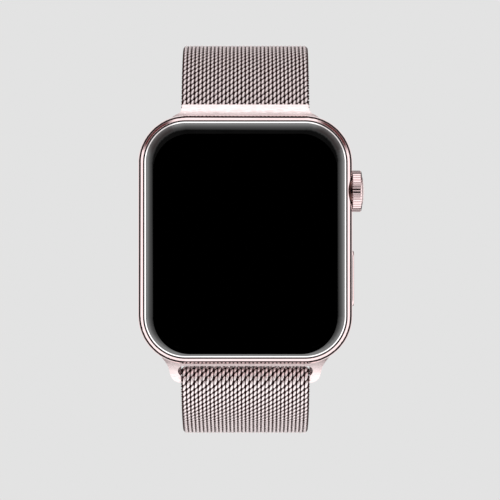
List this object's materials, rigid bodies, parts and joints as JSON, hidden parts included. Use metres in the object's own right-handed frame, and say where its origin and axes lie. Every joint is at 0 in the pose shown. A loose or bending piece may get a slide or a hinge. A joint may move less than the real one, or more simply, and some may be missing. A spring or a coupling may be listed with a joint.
{
  "type": "smartwatch",
  "caption": "Smartwatch with a rounded rectangular polished case, curved cover glass, knurled crown, side button and a woven metal loop strap with a magnetic clasp.",
  "frame": {"origin": "centre of the flat front of the cover glass", "axes": "+X towards the crown, +Y towards 12 o'clock, +Z out of the display"},
  "size_m": [0.0401, 0.0718, 0.054],
  "materials": {
    "polished_case_metal": "mirror-polished rose-tinted steel",
    "polished_lug_metal": "mirror-polished rose-tinted steel",
    "woven_steel_mesh": "woven steel wire with a rose tint, satin",
    "crown_metal": "polished, knurled",
    "cover_glass": "clear, polished, black behind",
    "display_black": "black, gloss",
    "black_rubber": "matt",
    "bare_steel": "satin",
    "rear_ceramic": "gloss black ceramic",
    "sensor_crystal": "dark polished crystal",
    "circuit_board": "solder mask",
    "sensor_diode": "clear resin",
    "copper_winding": "enamelled wire",
    "nickel_magnet": "nickel plated",
    "battery_wrap": "film",
    "machined_aluminium": "machined",
    "chip_resin": "moulded resin",
    "tungsten": "sintered",
    "polished_clasp_metal": "polished rose-tinted steel"
  },
  "bodies": {
    "case": {"case_body": "polished_case_metal", "front_glass": "cover_glass", "display_panel": "display_black", "front_gasket": "black_rubber", "mid_frame": "machined_aluminium", "frame_screws": "bare_steel", "rear_cover": "rear_ceramic", "sensor_window": "sensor_crystal", "rear_gasket": "black_rubber", "sensor_board": "circuit_board", "sensor_diodes": "sensor_diode", "charging_coil": "copper_winding", "alignment_magnet": "nickel_magnet", "battery": "battery_wrap", "logic_board": "circuit_board", "shield_can": "bare_steel", "processor": "chip_resin", "haptic_housing": "bare_steel", "speaker_module": "chip_resin", "microphone": "bare_steel", "crown_bush": "bare_steel", "crown_seal": "black_rubber", "crown_switch": "chip_resin", "crown_encoder": "chip_resin", "side_button_seal": "black_rubber", "side_button_switch": "chip_resin", "side_button_bracket": "bare_steel", "lug_upper": "polished_lug_metal", "lug_lower": "polished_lug_metal", "latch_spring_upper": "bare_steel", "latch_spring_lower": "bare_steel", "strap_loop": "woven_steel_mesh"},
    "crown_slider": {"crown_thrust_plate": "bare_steel"},
    "crown": {"crown_knob": "crown_metal", "crown_cap": "crown_metal", "crown_shaft": "bare_steel", "crown_clip": "bare_steel"},
    "side_button": {"side_button": "polished_case_metal"},
    "release_upper": {"release_button_upper": "bare_steel"},
    "release_lower": {"release_button_lower": "bare_steel"},
    "latch_upper": {"latch_pin_upper": "bare_steel"},
    "latch_lower": {"latch_pin_lower": "bare_steel"},
    "haptic": {"haptic_mass": "tungsten"},
    "tail_upper": {"strap_tail_upper": "woven_steel_mesh"},
    "tail_lower": {"strap_tail_lower": "woven_steel_mesh", "clasp_housing": "polished_clasp_metal", "clasp_cover": "polished_clasp_metal", "clasp_magnets": "nickel_magnet"}
  },
  "joints": [
    {"name": "crown_press", "type": "slide", "parent": "case", "child": "crown_slider", "axis": [-1, 0, 0], "range_m": [0, 0.00025]},
    {"name": "crown_turn", "type": "hinge", "parent": "crown_slider", "child": "crown", "pos_m": [0.019, 0.0086, -0.0052], "axis": [1, 0, 0], "continuous": true},
    {"name": "side_button_press", "type": "slide", "parent": "case", "child": "side_button", "axis": [-1, 0, 0], "range_m": [0, 0.0002]},
    {"name": "release_press_upper", "type": "slide", "parent": "case", "child": "release_upper", "axis": [0, 0, 1], "range_m": [0, 0.0005], "deforming": ["latch_spring_upper"]},
    {"name": "latch_lift_upper", "type": "slide", "parent": "case", "child": "latch_upper", "axis": [0, 0, 1], "range_m": [0, 0.0005]},
    {"name": "release_press_lower", "type": "slide", "parent": "case", "child": "release_lower", "axis": [0, 0, 1], "range_m": [0, 0.0005], "deforming": ["latch_spring_lower"]},
    {"name": "latch_lift_lower", "type": "slide", "parent": "case", "child": "latch_lower", "axis": [0, 0, 1], "range_m": [0, 0.0005]},
    {"name": "haptic_shake", "type": "slide", "parent": "case", "child": "haptic", "axis": [0, 1, 0], "range_m": [-0.0004, 0.0004]},
    {"name": "tail_lift", "type": "hinge", "parent": "case", "child": "tail_upper", "pos_m": [0, -0.02491, -0.00698], "axis": [-1, 0, 0], "range_deg": [0, 70]},
    {"name": "tail_curl", "type": "hinge", "parent": "tail_upper", "child": "tail_lower", "pos_m": [0, -0.03559, -0.02277], "axis": [-1, 0, 0], "range_deg": [0, 65]}
  ],
  "couplings": [
    {"joint": "latch_lift_upper", "follows": "release_press_upper", "ratio": 1},
    {"joint": "latch_lift_lower", "follows": "release_press_lower", "ratio": 1}
  ]
}
